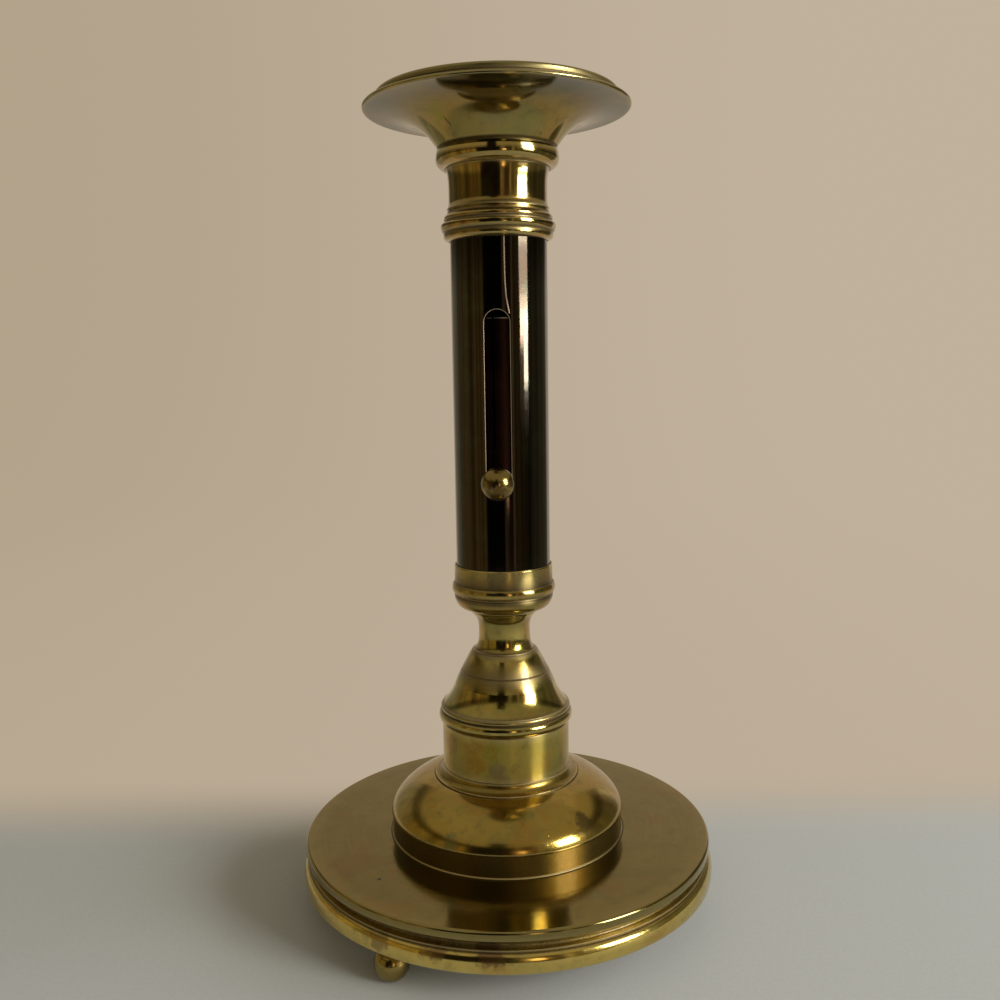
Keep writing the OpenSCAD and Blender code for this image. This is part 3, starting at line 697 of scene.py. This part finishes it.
def bell_outline():
    spigot = 2.0
    core_r = 14.2
    hollow = (12.2, 5)
    lower_bead = (18.6, 1.7)
    upper_bead = (18.2, 4.1)
    shoulder = (18.5, 5)
    cone_foot = (14.5, 11.2)
    first_line = (12.719, 14.8)
    cone_step = (10.492, 19.3)
    second_line = (9.25, 20.9)
    neck_foot = (8.75, 21.15)
    waist = (7.45, 27.2)
    top = (10.1, 33.2)
    points = ([(core_r, -spigot), (SPIGOT_R, -spigot), (SPIGOT_R, 0), (DRUM_R - 0.1, 0), (DRUM_R, 0.2)]
              + arc(lower_bead, 0.9, 1.5, -75, 70) + arc(upper_bead, 0.7, 0.8, -65, 70)
              + curve(shoulder, (17.0, 5.93), (15.3, 8.534), cone_foot, 24)
              + incised(first_line, (9.7, 20.9)) + [cone_step] + incised(second_line, (8.25, 21.9))
              + curve(neck_foot, (7.65, 22.15), (waist[0], 23.67), waist)
              + curve(waist, (waist[0], 31.4), (9.8, 31.4), top)
              + [(ROD_HOLE_R, top[1]), (ROD_HOLE_R, cone_foot[1]), hollow])
    return [(r, z + spigot) for r, z in points]


def ferrule_outline():
    side = 14.1
    bowl_r = 14.2
    bowl = 3.65
    line = 4.15
    bead = 6.2
    high = 12.9
    floor = 3.4
    lip = 0.3
    fillet_r = bowl_r + 0.15
    return ([(ROD_HOLE_R, 0)] + curve((10.1, 0), (12.3, 0), (13.9, 0.95), (bowl_r, bowl))
            + incised((bowl_r, line), (bowl_r, high)) + [(fillet_r, 4.4), (fillet_r, 4.7)]
            + arc((side, bead), 0.8, 1.5, -60, 80)
            + [(side, 7.7), (side, high - lip), (side - lip / 2, high), (SOCKET_R, high), (SOCKET_R, floor),
               (ROD_HOLE_R, floor)])


def collar_outline():
    high = 8.6
    foot_r = 15.2
    step = 2.1
    ridge_r = 15.95
    ridge = (3.7, 4.2)
    groove = (14.85, 4.85)
    bead = (14.4, 6.1)
    top_r = 14.05
    return ([(SOCKET_R, 0)] + curve((13.65, 0), (14.35, 0.1), (15.1, 0.45), (foot_r, 1.2))
            + [(foot_r, step), (foot_r - 0.15, step + 0.2)]
            + curve((15.1, 2.4), (15.45, 2.5), (15.85, 3.0), (ridge_r, ridge[0])) + [(ridge_r, ridge[1])]
            + arc((15.5, 4.3), 0.42, 0.4, 10, 80, 6) + [groove, (14.8, 5.2)]
            + arc(bead, 0.66, 0.9, -62, 72) + curve((14.5, 7.0), (14.1, 7.1), (top_r, 7.5), (top_r, high))
            + [(SOCKET_R, high)])


def neck_outline():
    grip = 4.6
    high = 10.8
    top = 18.9
    waist = 13.65
    points = ([(BORE_R, -grip), (BARREL_R, -grip), (BARREL_R, 0)]
              + curve((14.15, 0), (13.85, 0.63), (waist, 1.08), (waist, 1.8))
              + curve((waist, 4.32), (waist, 6.48), (waist, 9.18), (14.25, high))
              + [(BARREL_R, high), (BARREL_R, top), (BORE_R, top)])
    return [(r, z + grip) for r, z in points]


def bead_outline():
    high = 5.1
    under = (14.83, 2.17)
    over = (16.3, 0.7)
    face = 76
    mid = high / 2
    toe = under[0] + under[1] * math.cos(math.radians(face)) - 0.3
    return ([(SOCKET_R, 0), (toe, 0)] + arc((under[0], mid), under[1], mid, -face, 0, 20)
            + arc((over[0], mid), over[1], mid, 10, face, 12) + [(HUB_R, high), (SOCKET_R, high)])


def pan_outline():
    pan_r = 36.5
    rim = 1.1
    flare_h = 10.1
    top = flare_h + rim
    half_rim = rim / 2
    lip_r = 32.4
    half_lip = 0.8
    lip_top = top + 2.9
    lip_line = top + 1.1
    step = 0.3
    step_r = lip_r + half_lip + step
    grip = 3.0
    return ([(SOCKET_R, 0)] + curve((HUB_R, 0), (19.4, 4.6), (22.4, 9.8), (pan_r - half_rim, flare_h), 40)
            + arc((pan_r - half_rim, flare_h + half_rim), half_rim, half_rim, -80, 90, 10)
            + [(step_r + step, top), (step_r, top + step), (lip_r + half_lip, top + 0.7)]
            + incised((lip_r + half_lip, lip_line), (lip_r + half_lip, lip_top), 0.4, 0.16)
            + arc((lip_r, lip_top - half_lip), half_lip, half_lip, 0, 180) + [(lip_r - half_lip, top)]
            + curve((31.0, 11.0), (24.2, 9.6), (17.0, 5.0), (BORE_R, 3.9), 32)
            + [(BORE_R, grip), (SOCKET_R, grip)])


def foot_outline():
    ball = 4.7
    flat = 0.15
    neck = 2.75
    spigot = 2.0
    ring = 9.7
    tip = 14.2
    start = -math.degrees(math.acos(math.sqrt(ball * ball - (ball - flat) ** 2) / ball))
    end = math.degrees(math.acos(neck / ball))
    return ([(0, 0)] + arc((0, ball - flat), ball, ball, start, end, 28)
            + [(neck, ring), (spigot, ring), (spigot, tip), (0, tip)])


def knob_outline():
    back = KNOB_R - 0.2
    face = 3.2
    end = math.degrees(math.asin(back / KNOB_R))
    return [(0, -KNOB_R)] + arc((0, 0), KNOB_R, KNOB_R, -89, end, 40) + [(face, back), (0, back)]


def barrel():
    """The bronzed tube with its round-ended slot, whose outer edge is rubbed round."""
    foot = foot_z("barrel_tube")
    top = top_z("barrel_tube")
    slot_r = SLOT_W / 2
    low_end = foot + SLOT_UP + slot_r
    high_end = foot + SLOT_UP + SLOT_LEN - slot_r
    lip = 0.24
    chamfer = 0.15
    bevel = 0.1
    half = math.asin(slot_r / BARREL_R)
    across = [half * math.sin(math.radians(a)) for a in np.linspace(-90, 90, 37)]
    angles = across + list(np.linspace(half, 2 * math.pi - half, 150)[1:-1])
    cols = len(angles)
    last = len(across) - 1
    verts, normals, grime_and_shade, wear, faces = [], [], [], [], []

    def put(r, a, z, normal, worn=0.0):
        """Adds a point. Its normal is given as outward, up and sideways round the tube."""
        s = math.sin(a)
        c = math.cos(a)
        verts.append((r * s * MM, -r * c * MM, z * MM))
        out, up, side = normal
        normals.append(Vector((out * s + side * c, -out * c + side * s, up)).normalized())
        grime_and_shade.append(0.0)
        wear.append(worn)
        return len(verts) - 1

    def slot_at(k, r, grow):
        """Angle and two heights of the slot's edge for one of its columns, with the slot grown by grow."""
        a = across[k] * math.asin((slot_r + grow) / r) / half
        x = min(abs(r * math.sin(a)), slot_r + grow)
        rise = math.sqrt(max(0.0, (slot_r + grow) ** 2 - x * x))
        return a, low_end - rise, high_end + rise

    def add_face(face, flip):
        faces.append(face[::-1] if flip else face)

    def sheet(r, way, grow, z_low, z_high):
        """One face of the tube, with the slot left out of it."""
        grid = []
        for k, a in enumerate(angles):
            lower, upper = low_end, high_end
            if k <= last:
                a, lower, upper = slot_at(k, r, grow)
            grid.append([put(r, a, z, (way, 0, 0)) for z in (z_low, lower, upper, z_high)])
        for k in range(cols):
            p = grid[k]
            q = grid[(k + 1) % cols]
            for j in range(3):
                if j == 1 and k < last:
                    continue
                add_face([p[j], q[j], q[j + 1], p[j + 1]], way < 0)
        return grid

    outer = sheet(BARREL_R, 1, lip, foot + chamfer, top - chamfer)
    inner = sheet(BORE_R, -1, 0.0, foot + bevel, top - bevel)
    for level, z, up in ((0, foot, -1), (3, top, 1)):
        rim_out = [put(BARREL_R - chamfer, a, z, (0, up, 0)) for a in angles]
        rim_in = [put(BORE_R + bevel, a, z, (0, up, 0)) for a in angles]
        for k in range(cols):
            m = (k + 1) % cols
            add_face([outer[k][level], outer[m][level], rim_out[m], rim_out[k]], up < 0)
            add_face([rim_out[k], rim_out[m], rim_in[m], rim_in[k]], up < 0)
            add_face([rim_in[k], rim_in[m], inner[m][level], inner[k][level]], up < 0)

    # The slot's edge, once round: up to its lower end, then back along its upper end. Each ring of it has a
    # radius, a growth of the slot, and how far its normal points outward and into the slot.
    path = [(k, 1) for k in range(last + 1)] + [(k, 2) for k in range(last, -1, -1)]
    rings = [(BARREL_R - lip * (1 - math.cos(a)), lip * (1 - math.sin(a)), math.cos(a), math.sin(a))
             for a in np.radians(np.linspace(0, 90, 5))]
    rings.append((BORE_R, 0.0, 0.0, 1.0))
    rows = []
    for i, (r, grow, out, inward) in enumerate(rings):
        row = []
        for k, level in path:
            edge = slot_at(k, r, grow)
            side = math.sin(math.radians(-90 + 180 * k / last))
            rise = math.sqrt(max(0.0, 1 - side * side)) * (1 if level == 1 else -1)
            worn = 1.0 if 0 < inward < 1 else 0.0
            row.append(put(r, edge[0], edge[level], (out, rise * inward, -side * inward), worn))
        rows.append(row)
    for i in range(len(rows) - 1):
        for k in range(len(path)):
            m = (k + 1) % len(path)
            faces.append([rows[i][k], rows[i][m], rows[i + 1][m], rows[i + 1][k]])
    return new_piece("barrel_sleeve", verts, faces, normals, grime_and_shade, wear, "barrel_tube", "stand",
                     BRONZED)


def feet():
    for number in (1, 2, 3):
        node = f"ball_foot_{number}"
        lowest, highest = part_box(node)
        centre = (lowest + highest) / 2 / MM
        turned(f"foot_ball_{number}", foot_outline(), node, "brass_base", BRASS_FOOT, seg=72, radius=0.2,
               at=(centre.x, centre.y, 0))


def knob():
    """The ball, turned about the axis of its stud."""
    lowest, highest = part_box("slide_knob")
    centre = (0, lowest.y / MM + KNOB_R, (lowest.z + highest.z) / 2 / MM)
    turned("knob_ball", knob_outline(), "slide_knob", "brass_turned", BRASS_KNOB, seg=96, radius=0.12,
           body="slide", at=centre, lay=Matrix.Rotation(math.radians(-90), 3, "X"))


# Each turned piece on the main axis: its outline, the node it replaces, its slot, material and fineness.
TURNED = [("base_moulding", base_ring_outline(), "base_ring", "brass_base", BRASS_RING_LIT,
           {"seg": 224, "radius": 0.14}),
          ("base_disc", base_plate_outline(), "base_plate", "brass_base", BRASS_PLATE,
           {"seg": 224, "longest": 4.0}),
          ("dome_shell", dome_outline(), "foot_dome", "brass_base", BRASS_DOME,
           {"seg": 192, "radius": 0.16}),
          ("flared_foot", flare_outline(), "flare_ring", "brass_turned", BRASS_DOME, {"seg": 176}),
          ("drum_tube", drum_outline(), "stem_drum", "brass_turned", BRASS_DRUM,
           {"seg": 176, "radius": 0.2, "longest": 2.0}),
          ("bell_turning", bell_outline(), "stem_bell", "brass_turned", BRASS_BELL, {"seg": 176}),
          ("ferrule_cup", ferrule_outline(), "lower_ferrule", "brass_turned", BRASS_FERRULE, {}),
          ("collar_moulding", collar_outline(), "upper_collar", "brass_turned", BRASS, {"radius": 0.09}),
          ("neck_tube", neck_outline(), "neck_sleeve", "brass_turned", BRASS, {"longest": 2.0}),
          ("pan_bead", bead_outline(), "bead_ring", "brass_turned", BRASS, {"radius": 0.12}),
          ("pan_spinning", pan_outline(), "drip_pan", "brass_turned", BRASS_PAN,
           {"seg": 208, "radius": 0.12})]
for name, outline, node, slot, mat, look in TURNED:
    turned(name, outline, node, slot, mat, **look)
barrel()
feet()
knob()

# The solids that stay as they are, with a better material.
KEPT = {"barrel_plug": BRASS_INNER, "tie_rod": STEEL, "tie_washer": STEEL, "tie_nut": STEEL,
        "candle_cup": CUP_DARK, "cup_floor": BRASS_INNER, "knob_stud": BRASS, "saddle_washer": BRASS_INNER,
        "stud_nut": BRASS_INNER}
for node, mat in KEPT.items():
    NODE[node].data.materials.clear()
    NODE[node].data.materials.append(mat)

# The stage. Directions are measured from the camera's side of the object, growing to the right.
TABLE = (0.440, 0.460, 0.475)
PAPER = (0.47, 0.395, 0.30)
# The backdrop's two ends: painted shade on the left, painted light on the right.
WALL_LEFT_SHADED = (0.455, 0.365, 0.260)
WALL_RIGHT_LIT = (0.530, 0.440, 0.335)
CEILING = (0.38, 0.325, 0.205)
ZENITH = (0.40, 0.36, 0.27)


def around(direction, distance, z=0.0):
    """A place on the stage, in metres."""
    a = math.radians(AZ + direction)
    return Vector((math.sin(a) * distance, -math.cos(a) * distance, z))


def stage_piece(name, verts, faces, mat):
    """A mesh that belongs to the stage."""
    ob = smooth_mesh(name, verts, faces, mat)
    return ob


def camera_frame(n, place):
    """The place turned so that -y points to the camera's side."""
    turn = (0, 0, -math.radians(AZ))
    return n.add("ShaderNodeMapping", {"Vector": place, "Rotation": turn}, vector_type="POINT")


def sweep_paint():
    """Pale grey under the object, running over into a warm pale backdrop that shows its plain colour, with
    painted light that darkens it towards the left.
    """
    m, n = material("pale_sweep")
    place = camera_frame(n, n.add("ShaderNodeTexCoord").outputs["Object"])
    x, y, z = n.add("ShaderNodeSeparateXYZ", {0: place}).outputs
    tooth = n.ramp(n.noise(place, 900, 3, 0.6), 0.35, 0.65)
    table = n.mix(tooth, tuple(0.96 * v for v in TABLE), TABLE)
    paint = n.mix(n.ramp(y, 0.035, 0.11), table, PAPER)
    bsdf = n.add("ShaderNodeBsdfPrincipled", {"Base Color": paint, "Roughness": 0.9,
                                              "Specular IOR Level": 0.15})
    # Painted light: the backdrop darkens towards the left, away from the window.
    painted_wall_light = n.mix(n.ramp(x, -0.7, 0.5), WALL_LEFT_SHADED, WALL_RIGHT_LIT)
    path = n.add("ShaderNodeLightPath")
    seen = n.math("MAXIMUM", path.outputs["Is Camera Ray"], path.outputs["Is Glossy Ray"])
    far = n.times(seen, n.ramp(y, 0.025, 0.085))
    both = n.add("ShaderNodeMixShader", {0: far, 1: bsdf, 2: n.add("ShaderNodeEmission", {"Color": painted_wall_light})})
    n.put(n.add("ShaderNodeOutputMaterial").inputs[0], both)
    m.cycles.emission_sampling = "NONE"
    return m


def sweep():
    """A floor that curves up into a backdrop behind the object."""
    front = -2.4
    back = 0.75
    bend = 0.5
    half_width = 4.0
    high = 2.4
    turns = np.linspace(0, math.pi / 2, 24)[1:]
    profile = [(front, 0.0), (back, 0.0)]
    profile += [(back + bend * math.sin(a), bend - bend * math.cos(a)) for a in turns]
    profile.append((back + bend, high))
    verts = [(x, y, z) for y, z in profile for x in (-half_width, half_width)]
    faces = [(2 * i, 2 * i + 1, 2 * i + 3, 2 * i + 2) for i in range(len(profile) - 1)]
    stage_piece("stage_sweep", verts, faces, sweep_paint())


# What stands in front of the object for its reflections: radiance by direction, in degrees.
ROOM = [(-150, (0.11, 0.10, 0.07)), (-112, (0.08, 0.068, 0.04)), (-104, (0.08, 0.058, 0.025)),
        (-88, (0.12, 0.092, 0.036)), (-74, (0.055, 0.042, 0.017)), (-60, (0.115, 0.082, 0.030)),
        (-46, (0.08, 0.058, 0.020)), (-39, (0.11, 0.080, 0.030)), (-36, (0.010, 0.008, 0.007)),
        (5, (0.010, 0.008, 0.007)), (7, (0.20, 0.16, 0.11)), (13, (0.18, 0.14, 0.09)),
        (15, (0.06, 0.04, 0.02)), (26, (0.07, 0.045, 0.02)), (27.2, (0.42, 0.35, 0.22)),
        (29.5, (0.42, 0.35, 0.22)), (31, (0.14, 0.11, 0.04)), (44, (0.12, 0.09, 0.03)),
        (70, (0.030, 0.030, 0.018)), (100, (0.050, 0.045, 0.026)), (130, (0.040, 0.036, 0.022)),
        (142, (0.24, 0.21, 0.17))]
# Where someone stands in the dark part of the room, whose outline reaches up against the ceiling.
SOMEONE = (-19.0, -1.0)
WINDOW_FROM = 46.5
WINDOW_TO = 69.0
ROOM_R = 0.46
ROOM_TOP = 0.50
SILL_TOP = 0.11
ABOVE_FLOOR = 0.0005


def room_paint():
    """The room's bands of colour with streaks, brighter near the floor and fading into the ceiling."""
    m, n = material("room_beyond")
    m.cycles.emission_sampling = "NONE"
    place = camera_frame(n, n.add("ShaderNodeTexCoord").outputs["Object"])
    x, y, z = n.add("ShaderNodeSeparateXYZ", {0: place}).outputs
    direction = n.math("MULTIPLY", n.math("ARCTAN2", x, n.math("MULTIPLY", y, -1.0)), math.degrees(1))
    first = ROOM[0][0]
    span = ROOM[-1][0] - first
    bands = n.add("ShaderNodeValToRGB", {0: n.math("DIVIDE", n.math("SUBTRACT", direction, first), span)})
    stops = bands.color_ramp.elements
    stops[0].color = (*ROOM[0][1], 1)
    stops[1].color = (*ROOM[-1][1], 1)
    for at, colour in ROOM[1:-1]:
        stops.new((at - first) / span).color = (*colour, 1)
    streak = n.noise(n.add("ShaderNodeCombineXYZ", {0: n.math("MULTIPLY", direction, 0.22),
                                                    2: n.math("MULTIPLY", z, 1.5)}), 1.0, 4, 0.7)
    left_side = n.ramp(direction, -30, -40)
    right_side = n.ramp(direction, WINDOW_TO, 75)
    near_floor = n.scalar(n.math("MAXIMUM", left_side, right_side), 1.0, n.ramp(z, 0.25, 0.20, 1.0, 3.0))
    bright = n.math("MULTIPLY", near_floor, n.ramp(streak, 0.3, 0.7, 0.6, 1.4))
    lit = n.add("ShaderNodeVectorMath", {0: bands, "Scale": bright}, operation="SCALE")
    someone = n.times(n.ramp(direction, SOMEONE[0] - 2, SOMEONE[0] + 2),
                      n.ramp(direction, SOMEONE[1] + 2, SOMEONE[1] - 2))
    rise = n.scalar(someone, n.ramp(z, 0.29, 0.37), n.ramp(z, 0.47, 0.50))
    colour = n.mix(rise, lit.outputs[0], CEILING)
    n.put(n.add("ShaderNodeOutputMaterial").inputs[0], n.add("ShaderNodeEmission", {"Color": colour}))
    return m


def room():
    """A round screen with a gap for the window, which only reflections see."""
    mat = room_paint()
    screens = (("stage_room_left", ROOM[0][0], WINDOW_FROM, ROOM_TOP),
               ("stage_sill", WINDOW_FROM, WINDOW_TO, SILL_TOP),
               ("stage_room_right", WINDOW_TO, ROOM[-1][0], ROOM_TOP))
    for name, start, end, top in screens:
        directions = np.linspace(start, end, int((end - start) / 2) + 1)
        verts = [around(d, ROOM_R, z) for d in directions for z in (ABOVE_FLOOR, top)]
        faces = [(2 * i, 2 * i + 2, 2 * i + 3, 2 * i + 1) for i in range(len(directions) - 1)]
        ob = stage_piece(name, verts, faces, mat)
        ob.visible_camera = False
        ob.visible_diffuse = False
        ob.visible_shadow = False
        ob.visible_transmission = False


def area(name, direction, distance, low_z, high_z, width, radiance, colour, glossy=True):
    """An upright lamp that faces the axis."""
    height = high_z - low_z
    at = around(direction, distance, (low_z + high_z) / 2)
    data = bpy.data.lights.new(name, "AREA")
    data.shape = "RECTANGLE"
    data.size = width
    data.size_y = height
    data.energy = radiance * math.pi * width * height
    data.color = colour
    ob = bpy.data.objects.new(name, data)
    bpy.context.scene.collection.objects.link(ob)
    ob.location = at
    ob.rotation_euler = Vector((-at.x, -at.y, 0)).to_track_quat("-Z", "Y").to_euler()
    ob.visible_camera = False
    ob.visible_glossy = glossy


def lamps():
    """The window's panes behind the gap in the room, a soft key light and a small warm lamp."""
    window_at = 1.6
    daylight = (1.0, 0.98, 0.92)
    panes = (("window_sill", 57.5, 68.0, 0.12, 0.20, 24.0),
             ("window_low", 48.5, WINDOW_TO, 0.20, 0.27, 26.0),
             ("window_bar", WINDOW_FROM, WINDOW_TO, 0.27, 0.38, 5.0),
             ("window", WINDOW_FROM, WINDOW_TO, 0.38, 1.05, 18.0))
    for name, start, end, low_z, high_z, radiance in panes:
        width = 2 * window_at * math.tan(math.radians((end - start) / 2))
        area(name, (start + end) / 2, window_at, low_z, high_z, width, radiance, daylight)
    area("soft_key", 88, 1.2, 0.15, 1.05, 0.7, 4.8, (0.95, 0.99, 1.0), glossy=False)
    area("lamp", 13, 0.42, 0.06, 0.17, 0.045, 2.4, (1.0, 0.68, 0.36))


def studio_world():
    """A warm ceiling for lights and reflections, and the backdrop's colour for the camera."""
    world = bpy.data.worlds.new("studio")
    bpy.context.scene.world = world
    world.use_nodes = True
    world.node_tree.nodes.clear()
    n = Nodes(world.node_tree)
    way = n.add("ShaderNodeTexCoord").outputs["Generated"]
    up = n.add("ShaderNodeSeparateXYZ", {0: way}).outputs[2]
    light = n.mix(n.ramp(up, 0.5, 0.95), CEILING, ZENITH)
    colour = n.mix(n.add("ShaderNodeLightPath").outputs["Is Camera Ray"], light, WALL_RIGHT_LIT)
    n.put(n.add("ShaderNodeOutputWorld").inputs[0], n.add("ShaderNodeBackground", {"Color": colour}))


def camera():
    """The photograph's view, found from the ellipses of its turned rings."""
    focal_length = 1.0036
    sensor = 36.0
    distance = 0.285
    height = 0.155865
    pitch = math.radians(7.618)
    roll = math.radians(-0.88)
    yaw = math.radians(-0.140)
    forward = Vector((math.sin(yaw) * math.cos(pitch), math.cos(yaw) * math.cos(pitch), -math.sin(pitch)))
    level = Vector((math.cos(yaw), -math.sin(yaw), 0))
    upright = level.cross(forward)
    right = math.cos(roll) * level + math.sin(roll) * upright
    up = math.cos(roll) * upright - math.sin(roll) * level
    turn = Matrix.Rotation(math.radians(AZ), 3, "Z")
    view = Matrix((turn @ right, turn @ up, turn @ -forward)).transposed().to_4x4()
    view.translation = turn @ Vector((0, -distance, height))
    data = bpy.data.cameras.new("camera")
    data.sensor_width = sensor
    data.lens = sensor * focal_length
    data.clip_start = 0.01
    data.clip_end = 50
    ob = bpy.data.objects.new("camera", data)
    bpy.context.scene.collection.objects.link(ob)
    ob.matrix_world = view
    bpy.context.scene.camera = ob


sweep()
room()
lamps()
studio_world()
camera()
bpy.context.scene.view_settings.view_transform = "Standard"
